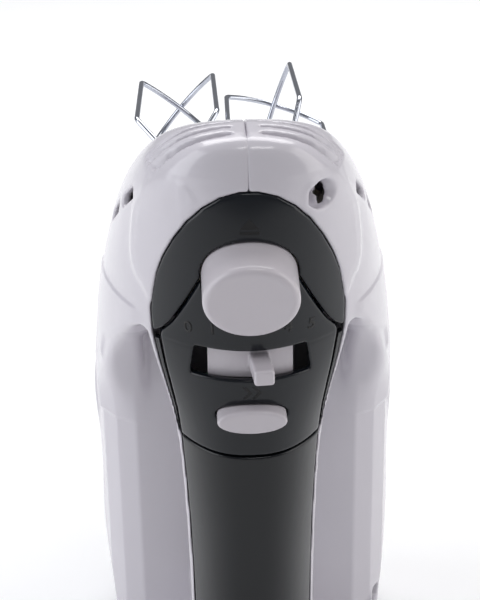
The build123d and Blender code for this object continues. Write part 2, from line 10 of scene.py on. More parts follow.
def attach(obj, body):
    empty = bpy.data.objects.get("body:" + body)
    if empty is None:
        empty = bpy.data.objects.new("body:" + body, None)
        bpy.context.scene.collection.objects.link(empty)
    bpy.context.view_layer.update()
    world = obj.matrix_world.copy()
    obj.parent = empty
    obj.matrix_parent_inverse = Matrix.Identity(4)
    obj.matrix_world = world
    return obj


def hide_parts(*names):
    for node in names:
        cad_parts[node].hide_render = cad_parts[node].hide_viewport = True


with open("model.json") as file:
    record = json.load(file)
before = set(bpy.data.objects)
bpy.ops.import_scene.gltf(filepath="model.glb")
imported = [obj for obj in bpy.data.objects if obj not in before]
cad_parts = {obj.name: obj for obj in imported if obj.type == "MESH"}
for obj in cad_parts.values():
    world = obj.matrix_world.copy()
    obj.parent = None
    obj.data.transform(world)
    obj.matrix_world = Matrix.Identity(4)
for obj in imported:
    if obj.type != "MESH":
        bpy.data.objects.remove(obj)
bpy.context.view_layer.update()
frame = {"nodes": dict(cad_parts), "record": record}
NODES = frame["nodes"]
scene = bpy.context.scene
link = scene.collection.objects.link

# ------------------------------------------------------------------ node body and slot tables
record = frame["record"]
SLOT = {s["node"]: s["material_slot"] for s in record["subparts"]}
BODY = {n: b for b, ns in record["behaviour"]["bodies"].items() for n in ns}


# ------------------------------------------------------------------ materials
def new_material(name):
    m = bpy.data.materials.new(name)
    m.use_nodes = True
    nt = m.node_tree
    nt.nodes.clear()
    out = nt.nodes.new("ShaderNodeOutputMaterial")
    b = nt.nodes.new("ShaderNodeBsdfPrincipled")
    nt.links.new(b.outputs["BSDF"], out.inputs["Surface"])
    return m, nt, b


def coords(nt, scale=1.0):
    tc = nt.nodes.new("ShaderNodeTexCoord")
    mp = nt.nodes.new("ShaderNodeMapping")
    s = scale if isinstance(scale, tuple) else (scale, scale, scale)
    mp.inputs["Scale"].default_value = s
    nt.links.new(tc.outputs["Object"], mp.inputs["Vector"])
    return mp.outputs["Vector"]


def noise(nt, vec, scale, detail=3.0, rough=0.5):
    n = nt.nodes.new("ShaderNodeTexNoise")
    n.inputs["Scale"].default_value = scale
    n.inputs["Detail"].default_value = detail
    n.inputs["Roughness"].default_value = rough
    nt.links.new(vec, n.inputs["Vector"])
    return n.outputs["Fac"]


def ramp(nt, fac, stops):
    r = nt.nodes.new("ShaderNodeValToRGB")
    while len(r.color_ramp.elements) < len(stops):
        r.color_ramp.elements.new(0.5)
    for e, (p, c) in zip(r.color_ramp.elements, stops):
        e.position = p
        e.color = (c[0], c[1], c[2], 1.0)
    nt.links.new(fac, r.inputs["Fac"])
    return r.outputs["Color"]


def spread(nt, fac, lo, hi):
    r = nt.nodes.new("ShaderNodeMapRange")
    r.inputs["To Min"].default_value = lo
    r.inputs["To Max"].default_value = hi
    nt.links.new(fac, r.inputs["Value"])
    return r.outputs["Result"]


def bump(nt, b, height, strength, distance, under=None):
    n = nt.nodes.new("ShaderNodeBump")
    n.inputs["Strength"].default_value = strength
    n.inputs["Distance"].default_value = distance
    nt.links.new(height, n.inputs["Height"])
    if under is not None:
        nt.links.new(under, n.inputs["Normal"])
    nt.links.new(n.outputs["Normal"], b.inputs["Normal"])
    return n.outputs["Normal"]


def moulded(name, base, shade, rough, rough_var, coat=0.0, grain=0.00001, grain_scale=2600.0, fleck=None, sss=0.0, ior=1.5):
    """Moulded plastic: slow tone drift, faint flow cloudiness, a fine moulded skin and slightly uneven gloss."""
    m, nt, b = new_material(name)
    v = coords(nt)
    slow = noise(nt, v, 14.0, 2.0, 0.45)
    fine = noise(nt, v, 950.0, 2.0, 0.6)
    mix = nt.nodes.new("ShaderNodeMix")
    mix.data_type = "FLOAT"
    mix.inputs["Factor"].default_value = 0.22
    nt.links.new(slow, mix.inputs["A"])
    nt.links.new(fine, mix.inputs["B"])
    lo = tuple(c * (1 - shade) for c in base)
    hi = tuple(min(1.0, c * (1 + shade)) for c in base)
    col = ramp(nt, mix.outputs["Result"], [(0.30, lo), (0.50, base), (0.72, hi)])
    nt.links.new(col, b.inputs["Base Color"])
    gl = noise(nt, v, 60.0, 4.0, 0.6)
    nt.links.new(spread(nt, gl, rough - rough_var, rough + rough_var), b.inputs["Roughness"])
    skin = noise(nt, v, grain_scale, 2.0, 0.5)
    bump(nt, b, skin, 0.35, grain)
    b.inputs["IOR"].default_value = ior
    if coat:
        b.inputs["Coat Weight"].default_value = coat
        b.inputs["Coat Roughness"].default_value = 0.06
    if sss:
        b.inputs["Subsurface Weight"].default_value = sss
        b.inputs["Subsurface Radius"].default_value = (0.0030, 0.0024, 0.0024)
        b.inputs["Subsurface Scale"].default_value = 1.0
    return m


def metal(name, base, rough, rough_var, streak=(1.0, 1.0, 1.0), streak_scale=700.0, depth=0.00001, shade=0.06):
    m, nt, b = new_material(name)
    v = coords(nt)
    vs = coords(nt, streak)
    slow = noise(nt, v, 120.0, 3.0, 0.55)
    lo = tuple(c * (1 - shade) for c in base)
    hi = tuple(min(1.0, c * (1 + shade)) for c in base)
    nt.links.new(ramp(nt, slow, [(0.3, lo), (0.7, hi)]), b.inputs["Base Color"])
    fine = noise(nt, vs, streak_scale, 3.0, 0.6)
    nt.links.new(spread(nt, fine, rough - rough_var, rough + rough_var), b.inputs["Roughness"])
    b.inputs["Metallic"].default_value = 1.0
    bump(nt, b, fine, 0.3, depth)
    return m


MAT = {}
MAT["housing_plastic"] = moulded("housing_plastic", (0.60, 0.575, 0.625), 0.012, 0.20, 0.025, coat=0.25, grain=0.000006, sss=0.0)
MAT["button_plastic"] = moulded("button_plastic", (0.56, 0.525, 0.565), 0.012, 0.26, 0.025, coat=0.1, grain=0.000008)
MAT["panel_plastic"] = moulded("panel_plastic", (0.0055, 0.0072, 0.0105), 0.10, 0.15, 0.02, coat=0.0, grain=0.000003, grain_scale=1500.0, ior=1.42)
MAT["grip_plastic"] = moulded("grip_plastic", (0.0055, 0.0066, 0.0085), 0.10, 0.19, 0.03, coat=0.0, grain=0.000006, grain_scale=1900.0, ior=1.42)
MAT["trim_plastic"] = moulded("trim_plastic", (0.0085, 0.0100, 0.0130), 0.10, 0.15, 0.02, coat=0.0, grain=0.000004)
MAT["switch_plastic"] = moulded("switch_plastic", (0.020, 0.020, 0.021), 0.12, 0.5, 0.05, grain=0.00002, grain_scale=1500.0)
MAT["fan_plastic"] = moulded("fan_plastic", (0.028, 0.028, 0.032), 0.12, 0.45, 0.05, grain=0.00002, grain_scale=1500.0)
MAT["collar_plastic"] = moulded("collar_plastic", (0.05, 0.05, 0.055), 0.10, 0.42, 0.05, grain=0.00002, grain_scale=1500.0)
MAT["bracket_plastic"] = moulded("bracket_plastic", (0.56, 0.53, 0.46), 0.04, 0.5, 0.05, grain=0.00002, grain_scale=1200.0)
MAT["gear_plastic"] = moulded("gear_plastic", (0.74, 0.70, 0.58), 0.04, 0.38, 0.05, grain=0.00001, grain_scale=1200.0, sss=0.1)
MAT["bush_rubber"] = moulded("bush_rubber", (0.018, 0.018, 0.018), 0.15, 0.62, 0.08, grain=0.00004, grain_scale=900.0)
MAT["chrome_wire"] = metal("chrome_wire", (0.52, 0.54, 0.60), 0.10, 0.03, depth=0.000004, streak_scale=900.0)
MAT["screw_steel"] = metal("screw_steel", (0.52, 0.52, 0.54), 0.28, 0.08, streak=(1, 1, 30), streak_scale=60.0)
MAT["spring_steel"] = metal("spring_steel", (0.42, 0.42, 0.44), 0.30, 0.08)
MAT["bearing_brass"] = metal("bearing_brass", (0.70, 0.50, 0.22), 0.30, 0.08, shade=0.10)


def laminations(name):
    """Stacked sheets: fine bright and dark lines across the motor axis."""
    m, nt, b = new_material(name)
    v = coords(nt)
    w = nt.nodes.new("ShaderNodeTexWave")
    w.wave_type = "BANDS"
    w.bands_direction = "Z"
    w.inputs["Scale"].default_value = 320.0
    w.inputs["Distortion"].default_value = 0.4
    w.inputs["Detail"].default_value = 1.0
    nt.links.new(v, w.inputs["Vector"])
    nt.links.new(ramp(nt, w.outputs["Fac"], [(0.15, (0.07, 0.07, 0.075)), (0.6, (0.33, 0.33, 0.34)), (1.0, (0.42, 0.41, 0.40))]), b.inputs["Base Color"])
    b.inputs["Metallic"].default_value = 0.85
    nt.links.new(spread(nt, noise(nt, v, 300.0), 0.38, 0.6), b.inputs["Roughness"])
    bump(nt, b, w.outputs["Fac"], 0.6, 0.00008)
    return m


def winding(name):
    """Enamelled wire laid side by side."""
    m, nt, b = new_material(name)
    v = coords(nt)
    w = nt.nodes.new("ShaderNodeTexWave")
    w.wave_type = "RINGS"
    w.rings_direction = "Z"
    w.inputs["Scale"].default_value = 300.0
    w.inputs["Distortion"].default_value = 1.2
    w.inputs["Detail"].default_value = 2.0
    w.inputs["Detail Scale"].default_value = 1.4
    nt.links.new(v, w.inputs["Vector"])
    nt.links.new(ramp(nt, w.outputs["Fac"], [(0.1, (0.16, 0.035, 0.012)), (0.5, (0.52, 0.17, 0.06)), (0.95, (0.80, 0.36, 0.15))]), b.inputs["Base Color"])
    b.inputs["Metallic"].default_value = 0.7
    b.inputs["Coat Weight"].default_value = 0.5
    b.inputs["Coat Roughness"].default_value = 0.12
    nt.links.new(spread(nt, noise(nt, v, 500.0), 0.22, 0.36), b.inputs["Roughness"])
    bump(nt, b, w.outputs["Fac"], 0.8, 0.00018)
    return m


def circuit(name):
    m, nt, b = new_material(name)
    v = coords(nt)
    br = nt.nodes.new("ShaderNodeTexBrick")
    br.inputs["Scale"].default_value = 260.0
    br.inputs["Mortar Size"].default_value = 0.03
    br.inputs["Color1"].default_value = (0.016, 0.085, 0.035, 1)
    br.inputs["Color2"].default_value = (0.022, 0.115, 0.048, 1)
    br.inputs["Mortar"].default_value = (0.06, 0.22, 0.09, 1)
    mp = nt.nodes.new("ShaderNodeMapping")
    mp.inputs["Rotation"].default_value = (math.pi / 2, 0, 0)
    nt.links.new(v, mp.inputs["Vector"])
    nt.links.new(mp.outputs["Vector"], br.inputs["Vector"])
    nt.links.new(br.outputs["Color"], b.inputs["Base Color"])
    nt.links.new(spread(nt, noise(nt, v, 400.0), 0.28, 0.42), b.inputs["Roughness"])
    bump(nt, b, br.outputs["Fac"], 0.4, 0.00003)
    return m


def carbon(name):
    m, nt, b = new_material(name)
    v = coords(nt, (1.0, 4.0, 1.0))
    n = noise(nt, v, 700.0, 4.0, 0.7)
    nt.links.new(ramp(nt, n, [(0.3, (0.010, 0.010, 0.011)), (0.7, (0.035, 0.035, 0.038))]), b.inputs["Base Color"])
    nt.links.new(spread(nt, n, 0.45, 0.7), b.inputs["Roughness"])
    b.inputs["Metallic"].default_value = 0.25
    bump(nt, b, n, 0.5, 0.00003)
    return m


MAT["lamination"] = laminations("lamination")
MAT["enamelled_copper"] = winding("enamelled_copper")
MAT["board"] = circuit("board")
MAT["carbon"] = carbon("carbon")
MAT["mark"] = moulded("mark_print", (0.0030, 0.0031, 0.0035), 0.12, 0.55, 0.05, grain=0.000008)

for n, o in NODES.items():
    o.data.materials.clear()
    o.data.materials.append(MAT[SLOT[n]])
    for p in o.data.polygons:
        p.use_smooth = True


def sharp_smooth(o, angle=32.0):
    """Smooth shading that keeps edges sharper than the angle, as a modifier on the unchanged mesh."""
    me = o.data
    if "sharp_face" in me.attributes:
        pass
    bev = o.modifiers.new("edge_split", "EDGE_SPLIT")
    bev.use_edge_angle = True
    bev.split_angle = math.radians(angle)
    bev.use_edge_sharp = False


# ------------------------------------------------------------------ distance-field shaping (mm)
def mesh_arrays(o):
    me = o.data
    me.calc_loop_triangles()
    co = np.empty(len(me.vertices) * 3, np.float32)
    me.vertices.foreach_get("co", co)
    t = np.empty(len(me.loop_triangles) * 3, np.int32)
    me.loop_triangles.foreach_get("vertices", t)
    return np.ascontiguousarray(co.reshape(-1, 3) * np.float32(1000.0)), np.ascontiguousarray(t.reshape(-1, 3).astype(np.uint32))


def field(o, voxel, band=6):
    """Signed distance samples of a node's solid: array, index of its first sample."""
    co, tri = mesh_arrays(o)
    xf = vdb.createLinearTransform(voxel)
    g = vdb.FloatGrid.createLevelSetFromPolygons(co, triangles=tri, transform=xf, halfWidth=float(band))
    lo, hi = g.evalActiveVoxelBoundingBox()
    lo = tuple(int(a) - 2 for a in lo)
    shape = tuple(int(h) - l + 3 for h, l in zip(hi, lo))
    a = np.empty(shape, np.float32)
    g.copyToArray(a, ijk=lo)
    return a, lo


def blur(a, times):
    for _ in range(times):
        for ax in range(3):
            b = np.moveaxis(a, ax, 0)
            c = b.copy()
            c[1:-1] = 0.25 * b[:-2] + 0.5 * b[1:-1] + 0.25 * b[2:]
            a = np.moveaxis(c, 0, ax)
    return np.ascontiguousarray(a, dtype=np.float32)


def to_object(name, a, lo, voxel, keep=1.0, adapt=0.0):
    g = vdb.FloatGrid(float(max(a.max(), 1.0)))
    g.copyFromArray(a, ijk=(0, 0, 0), tolerance=0.0)
    pts, tris, quads = g.convertToPolygons(0.0, adapt)
    pts = (np.asarray(pts, np.float64) + np.array(lo, np.float64)) * voxel / 1000.0
    faces = [tuple(int(i) for i in q) for q in np.asarray(quads)] + [tuple(int(i) for i in t) for t in np.asarray(tris)]
    me = bpy.data.meshes.new(name)
    me.from_pydata(pts.tolist(), [], faces)
    # outward orientation from the signed volume
    me.calc_loop_triangles()
    t = np.empty(len(me.loop_triangles) * 3, np.int32)
    me.loop_triangles.foreach_get("vertices", t)
    t = t.reshape(-1, 3)
    p = pts[t]
    if np.einsum("ij,ij->i", p[:, 0], np.cross(p[:, 1], p[:, 2])).sum() < 0:
        me.flip_normals()
    me.validate()
    for poly in me.polygons:
        poly.use_smooth = True
    o = bpy.data.objects.new(name, me)
    link(o)
    if keep < 1.0:
        d = o.modifiers.new("thin", "DECIMATE")
        d.ratio = keep
        dg = bpy.context.evaluated_depsgraph_get()
        thin = bpy.data.meshes.new_from_object(o.evaluated_get(dg))
        o.modifiers.clear()
        o.data = thin
        for poly in o.data.polygons:
            poly.use_smooth = True
    return o


def samples(a, lo, voxel, mask):
    i, j, k = np.nonzero(mask)
    p = np.stack([i + lo[0], j + lo[1], k + lo[2]], -1).astype(np.float32) * np.float32(voxel)
    return (i, j, k), p


def polyline_distance(p, line):
    """Distance from points p to a 3-D polyline."""
    best = np.full(len(p), 1e9, np.float32)
    for q0, q1 in zip(line[:-1], line[1:]):
        q0, q1 = np.array(q0, np.float32), np.array(q1, np.float32)
        d = q1 - q0
        t = np.clip(((p - q0) @ d) / float(d @ d), 0, 1)
        best = np.minimum(best, np.linalg.norm(p - q0 - t[:, None] * d, axis=1))
    return best


def inside_polygon(x, z, poly):
    c = np.zeros(len(x), bool)
    n = len(poly)
    for a in range(n):
        x0, z0 = poly[a]
        x1, z1 = poly[(a + 1) % n]
        hit = ((z0 > z) != (z1 > z)) & (x < (x1 - x0) * (z - z0) / (z1 - z0 + 1e-12) + x0)
        c ^= hit
    return c


def smooth_line(pts, per=8):
    """Catmull-Rom points through pts."""
    P = [np.array(p, float) for p in pts]
    P = [2 * P[0] - P[1]] + P + [2 * P[-1] - P[-2]]
    out = []
    for a in range(1, len(P) - 2):
        for s in range(per):
            t = s / per
            out.append(0.5 * ((2 * P[a]) + (-P[a - 1] + P[a + 1]) * t + (2 * P[a - 1] - 5 * P[a] + 4 * P[a + 1] - P[a + 2]) * t * t + (-P[a - 1] + 3 * P[a] - 3 * P[a + 1] + P[a + 2]) * t ** 3))
    out.append(P[-2])
    return [tuple(q) for q in out]


def surface_y(bvh, x, z, start=-80.0):
    hit = bvh.ray_cast(Vector((x / 1000, start / 1000, z / 1000)), Vector((0, 1, 0)))
    return None if hit[0] is None else hit[0].y * 1000


def bvh_of(nodes):
    co, tri = [], []
    base = 0
    for n in nodes:
        c, t = mesh_arrays(NODES[n])
        co.append(c / 1000.0)
        tri.append(t.astype(np.int64) + base)
        base += len(c)
    return BVHTree.FromPolygons(np.concatenate(co).tolist(), np.concatenate(tri).tolist())


WHOLE = bvh_of(["housing_left", "housing_right", "upper_panel", "lower_panel", "handle_grip"])
SKIN = bvh_of(["upper_panel", "lower_panel", "handle_grip", "side_trim_left", "side_trim_right"])

# edge of the raised brow round the control panel, as (x, z); its y comes from the body's own surface
BROW_XZ = [(0.0, 191.65), (5.2, 191.3), (11.4, 189.7), (18.2, 184.9), (23.2, 180.0), (27.6, 174.2), (30.4, 167.8),
           (31.4, 161.0), (31.7, 154.5), (31.0, 150.4), (28.8, 147.6), (27.4, 144.4), (27.0, 141.0)]


def on_body(line):
    out = []
    for x, z in line:
        ys = [surface_y(WHOLE, s * x, z) for s in (1, -1)]
        ys = [y for y in ys if y is not None]
        if out:
            y = min(ys, key=lambda q: abs(q - out[-1][1])) if ys else out[-1][1]
        else:
            y = ys[0] if ys else -42.5
        out.append((x, y, z))
    return out


BROW = smooth_line(on_body(BROW_XZ))
BROW_XZ = [(x, z) for x, y, z in BROW] + [(0.0, 140.0)]
BROW_XZ[0] = (-0.5, 191.65)
BROW_XZ[-1] = (-0.5, 140.0)


def brow(a, lo, voxel, side):
    """Raises a soft-edged brow round the control panel: full at its rim, dished inside it, a small step outside."""
    nx, ny, nz = a.shape
    Y = (np.arange(ny) + lo[1]) * voxel
    Z = (np.arange(nz) + lo[2]) * voxel
    m = (np.abs(a) < 2.2) & (Y[None, :, None] < -14) & (Z[None, None, :] > 133)
    idx, p = samples(a, lo, voxel, m)
    p[:, 0] *= side
    d = polyline_distance(p, BROW)
    inside = inside_polygon(p[:, 0], p[:, 2], BROW_XZ)
    h_in = 0.55 * np.exp(-((d / 8.0) ** 2))
    h_out = 0.55 * np.exp(-((d / 2.2) ** 2)) - 0.18 * (1 - np.exp(-((d / 2.2) ** 2))) * np.exp(-((d / 8.0) ** 2))
    h = np.where(inside, h_in, h_out)
    fade = np.clip((p[:, 2] - 140.0) / 6.0, 0, 1)
    fade = fade * fade * (3 - 2 * fade)
    a[idx] -= (h * fade).astype(np.float32)
    return a


VENTS = [
    [(4.2, -38.3), (9.0, -38.1), (14.0, -37.3), (19.0, -35.4), (22.8, -32.2), (26.2, -27.6)],
    [(4.2, -33.3), (9.0, -33.2), (14.0, -32.6), (19.0, -31.2), (22.9, -28.5), (26.6, -24.4)],
    [(4.2, -28.2), (9.0, -28.3), (14.0, -28.0), (19.0, -27.0), (23.0, -24.9), (27.0, -21.2)],
]


def smooth_max(f, g, k):
    h = np.clip(k - np.abs(f - g), 0, None) / k
    return np.maximum(f, g) + h * h * k * 0.25


def openings(a, lo, voxel, side):
    """Air slots, flank openings and the screw recess, cut with slightly rounded lips after the edges are softened."""
    nx, ny, nz = a.shape
    X = side * (np.arange(nx) + lo[0]) * voxel
    Y = (np.arange(ny) + lo[1]) * voxel
    Z = (np.arange(nz) + lo[2]) * voxel
    m = (np.abs(a) < 5.2) & (X[:, None, None] > 2.0) & (Y[None, :, None] < 20) & (Z[None, None, :] > 144)
    idx, p = samples(a, lo, voxel, m)
    p[:, 0] *= side
    f = a[idx]
    # wall made whole again where the slots run out on the flank, so that they end cleanly
    flank = np.minimum(np.minimum(p[:, 0] - 20.0, 187.0 - p[:, 2]), np.minimum(p[:, 2] - 170.0, -15.0 - p[:, 1]))
    flank = np.minimum(flank, p[:, 1] + 33.0)
    wall = np.maximum(np.abs(envelope(p) + 1.15) - 1.1, -flank)
    f = -smooth_max(-f, -wall.astype(np.float32), 0.5)
    if side > 0:
        plug = np.maximum(np.sqrt((p[:, 1] + 39.6) ** 2 + (p[:, 2] - 176.0) ** 2) - 4.6, np.abs(p[:, 0] - 14.6) - 1.4)
        f = np.minimum(f, plug)
    for line in VENTS:
        l3 = smooth_line([(x, y, 0.0) for x, y in line], 4)
        q = p.copy()
        q[:, 2] = 0.0
        d = polyline_distance(q, l3)
        g = np.minimum(0.62 - d, p[:, 2] - 180.6)
        f = smooth_max(f, g, 0.45)
    for y, z in ((-15.0, 167.8), (-2.0, 158.8), (11.0, 151.0)):
        c, s = math.cos(math.radians(-35)), math.sin(math.radians(-35))
        u = (p[:, 1] - y) * c + (p[:, 2] - z) * s
        v = -(p[:, 1] - y) * s + (p[:, 2] - z) * c
        du = np.clip(np.abs(u) - 3.9, 0, None)
        g = np.where(p[:, 0] > 24.0, 1.55 - np.sqrt(du * du + v * v), -5.0)
        f = smooth_max(f, g, 0.6)
    if side > 0:
        d = np.sqrt((p[:, 1] + 39.6) ** 2 + (p[:, 2] - 176.0) ** 2)
        g = np.minimum(3.75 - d, p[:, 0] - 15.8)
        f = smooth_max(f, g, 0.8)
    a[idx] = f
    return a


COL_Z = [80.0, 100.0, 109.0, 117.0, 126.0, 133.0]
COL_W = [19.8, 21.3, 22.9, 24.8, 27.0, 28.5]
COL_H = [18.2, 17.4, 17.2, 17.2, 17.2, 17.45]


def blend_neck(a, lo, voxel):
    """Brings the handle's crown down to the head's where they meet at Z 133, so that the neck has no ledge."""
    nx, ny, nz = a.shape
    X = (np.arange(nx) + lo[0]) * voxel
    Y = (np.arange(ny) + lo[1]) * voxel
    Z = (np.arange(nz) + lo[2]) * voxel
    w = np.interp(Z, COL_Z, COL_W)
    h = np.interp(Z, COL_Z, COL_H)
    u = np.clip(np.abs(X)[:, None] / w[None, :], 0, 1)
    t = np.clip((Z - 104.0) / 29.0, 0, 1)
    t = t * t * (3 - 2 * t)
    n = 2.4 - 0.4 * t
    shift = h[None, :] * (u ** n[None, :] - u ** 2.4) * (Z[None, :] <= 133.05)
    fade = np.clip((-8.0 - Y) / 12.0, 0, 1)
    pos = np.arange(ny)[None, :, None] - fade[None, :, None] * shift[:, None, :] / voxel
    i0 = np.clip(np.floor(pos).astype(np.int32), 0, ny - 2)
    f = np.clip(pos - i0, 0, 1).astype(np.float32)
    lo_v = np.take_along_axis(a, i0, axis=1)
    hi_v = np.take_along_axis(a, i0 + 1, axis=1)
    return (lo_v * (1 - f) + hi_v * f).astype(np.float32)


BODY_LEVELS = np.array([
    (80.0, 48.0, 23, -47.0, 54.5, 1.85, 2.5), (105.0, 46.9, 21, -47.0, 54.5, 1.85, 2.5), (125.0, 44.6, 17, -47.3, 54.0, 1.85, 2.5),
    (140.0, 42.2, 12, -48.0, 52.3, 1.85, 2.45), (153.0, 39.2, 6, -48.7, 46.2, 1.88, 2.4), (164.0, 35.8, 0, -49.0, 35.4, 1.95, 2.35),
    (173.0, 32.0, -7, -48.7, 22.0, 2.1, 2.3), (180.0, 28.0, -13.5, -47.8, 8.5, 2.3, 2.3), (185.0, 24.2, -19, -46.6, -3.5, 2.5, 2.3),
    (188.5, 20.2, -23.5, -45.3, -12.5, 2.6, 2.3), (191.0, 15.4, -28, -43.6, -20.0, 2.6, 2.3)])


def trim_boss(a, lo, voxel, side):
    """Keeps the inner screw boss near the nose from standing proud of the hood."""
    nx, ny, nz = a.shape
    Y = (np.arange(ny) + lo[1]) * voxel
    Z = (np.arange(nz) + lo[2]) * voxel
    m = (np.abs(a) < 3.5) & (Y[None, :, None] < -28) & (Z[None, None, :] > 164) & (Z[None, None, :] < 187)
    idx, p = samples(a, lo, voxel, m)
    w = np.clip(1 - np.abs(p[:, 2] - 176.0) / 9.0, 0, 1)
    g = envelope(p) - 0.15 - 3.0 * (1 - np.minimum(1, w * 3.0))
    a[idx] = smooth_max(a[idx], g.astype(np.float32), 0.5)
    return a


def envelope(p):
    """About the distance outside the full body form, before the hand space was taken from it."""
    hw, ym, yt, yb, nt_, nb = [np.interp(p[:, 2], BODY_LEVELS[:, 0], BODY_LEVELS[:, k]) for k in range(1, 7)]
    front = p[:, 1] < ym
    ry = np.where(front, ym - yt, yb - ym)
    n = np.where(front, nt_, nb)
    ax, ay = np.abs(p[:, 0]) / hw, np.abs(p[:, 1] - ym) / ry
    r = (ax ** n + ay ** n) ** (1 / n)
    gx, gy = ax ** (n - 1) / hw, ay ** (n - 1) / ry
    grad = np.sqrt(gx * gx + gy * gy) * np.maximum(r, 1e-3) ** (1 - n) + 1e-6
    return (r - 1) / grad


def neck_fill(a, lo, voxel, side):
    """Sweeps the head's flank down into the motor housing, each side of the hand space, with a soft inner edge."""
    nx, ny, nz = a.shape
    X = side * (np.arange(nx) + lo[0]) * voxel
    Y = (np.arange(ny) + lo[1]) * voxel
    Z = (np.arange(nz) + lo[2]) * voxel
    m = np.ones(a.shape, bool) & (X[:, None, None] > 25.5) & (Y[None, :, None] < 16) & (Y[None, :, None] > -34) & (Z[None, None, :] > 86) & (Z[None, None, :] < 138)
    idx, p = samples(a, lo, voxel, m)
    p[:, 0] *= side
    env = envelope(p) + 0.12
    t = np.clip((p[:, 2] - 88.0) / 46.0, 0, 1)
    front = (3.0 - 28.0 * t ** 1.9) - p[:, 1]
    slope = 28.0 * 1.9 * t ** 0.9 / 46.0
    front = front / np.sqrt(1 + slope * slope)
    inner = 31.2 - p[:, 0]
    cut = (p[:, 0] - 34.7) * 0.741 - (p[:, 1] - 2.0) * 0.672 - 1.6 - 24.0 * t ** 1.4
    w = smooth_max(smooth_max(smooth_max(env, front, 2.4), cut, 3.0), inner, 3.0)
    w = np.maximum(w, 86.5 - p[:, 2])
    f = a[idx]
    f = -smooth_max(-f, -w, 2.6)
    a[idx] = f.astype(np.float32)
    return a


def soften(node, voxel, passes, keep, shape=None, name=None, mat=None, after=None, neck=False):
    a, lo = field(NODES[node], voxel)
    if neck:
        a = blend_neck(a, lo, voxel)
    if shape is not None:
        a = shape(a, lo, voxel)
    a = blur(a, passes)
    if after is not None:
        a = after(a, lo, voxel)
    o = to_object(name or node + "_shell", a, lo, voxel, keep)
    o.data.materials.append(mat or MAT[SLOT[node]])
    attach(o, BODY[node])
    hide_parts(node)
    return o


vh = 0.5
soften("housing_right", vh, 1, 0.28, lambda a, lo, v: neck_fill(brow(trim_boss(a, lo, v, 1.0), lo, v, 1.0), lo, v, 1.0), after=lambda a, lo, v: openings(a, lo, v, 1.0), neck=True)
soften("housing_left", vh, 1, 0.28, lambda a, lo, v: neck_fill(brow(trim_boss(a, lo, v, -1.0), lo, v, -1.0), lo, v, -1.0), after=lambda a, lo, v: openings(a, lo, v, -1.0), neck=True)

GROOVE = [(26.9, -30.0, 133.7), (24.9, -32.6, 134.6), (21.2, -37.0, 139.2), (17.1, -41.6, 146.9), (13.3, -44.6, 154.2), (11.5, -45.6, 157.6)]


def on_skin(line):
    """Puts each point's y on the panel's surface."""
    out = []
    for x, y, z in line:
        s = surface_y(SKIN, x, z)
        out.append((x, y if s is None else s, z))
    return out


GROOVE_S = on_skin(smooth_line(GROOVE, 4))


def carve(a, lo, voxel, line, radius, sink=0.0, both=True):
    nx, ny, nz = a.shape
    sides = (1.0, -1.0) if both else (1.0,)
    m = np.abs(a) < radius + 1.6
    idx, p = samples(a, lo, voxel, m)
    d = np.full(len(p), 1e9, np.float32)
    for s in sides:
        q = p.copy()
        q[:, 0] *= s
        q[:, 1] -= sink
        d = np.minimum(d, polyline_distance(q, line))
    # smooth subtraction, so that the groove's lips are rounded
    f = a[idx]
    g = radius - d
    k = 0.35
    hh = np.clip(k - np.abs(f - g), 0, None) / k
    a[idx] = np.maximum(f, g) + hh * hh * k * 0.25
    return a


def shield_room(a, lo, voxel):
    """Keeps the space that the slider's curved shield swings through clear of the softened panel."""
    idx, p = samples(a, lo, voxel, np.abs(a) < 3.0)
    r = np.hypot(p[:, 0], p[:, 1] + 17.0)
    ang = np.degrees(np.arctan2(p[:, 0], -(p[:, 1] + 17.0)))
    d = np.maximum(np.abs(r - 25.9) - 0.85, np.abs(p[:, 2] - 129.1) - 5.55)
    d = np.maximum(d, (np.abs(ang + 4.95) - 51.75) * r * np.pi / 180.0 - 0.15)
    a[idx] = np.maximum(a[idx], -d).astype(np.float32)
    return a


vp = 0.38
soften("upper_panel", vp, 1, 0.4, lambda a, lo, v: carve(a, lo, v, GROOVE_S, 0.5))
soften("lower_panel", vp, 1, 0.4, lambda a, lo, v: carve(a, lo, v, GROOVE_S, 0.5), after=shield_room, neck=True)
soften("handle_grip", vp, 1, 0.4)


def ribbed(side):
    """Fine lengthwise ribs on the trim strip beside the panel."""
    outer = [(26.75, 132.0), (25.25, 124.0), (23.65, 116.6), (21.85, 109.0), (20.5, 101.0)]
    inner = [(24.95, 131.75), (23.85, 124.0), (22.4, 116.6), (21.0, 109.0), (20.15, 101.0)]

    def shape(a, lo, voxel):
        m = np.abs(a) < 1.5
        idx, p = samples(a, lo, voxel, m)
        z = p[:, 2]
        zi = [r[1] for r in outer][::-1]
        xo = np.interp(z, zi, [r[0] for r in outer][::-1])
        xi = np.interp(z, zi, [r[0] for r in inner][::-1])
        u = (np.abs(p[:, 0]) - xi) / np.maximum(xo - xi, 0.3)
        w = np.clip((xo - xi) / 1.4, 0, 1)
        groove = 0.30 * w * (0.5 - 0.5 * np.cos(2 * np.pi * (u * 2.0))) ** 2
        a[idx] += np.where((p[:, 1] < -20), 0.30 * w - groove, 0).astype(np.float32)
        return a
    return shape


vt = 0.25
soften("side_trim_right", vt, 1, 0.6, ribbed(1), neck=True)
soften("side_trim_left", vt, 1, 0.6, ribbed(-1), neck=True)
vb = 0.3
soften("eject_button", vb, 3, 0.5, name="eject_button_cap")
soften("turbo_button", 0.25, 3, 0.5, name="turbo_button_cap")
soften("speed_slider", 0.22, 2, 0.5, name="speed_slider_key")
soften("cord_inlet_bush", 0.25, 2, 0.5, name="cord_inlet_sleeve")

for n, o in NODES.items():
    if not o.hide_render:
        sharp_smooth(o)


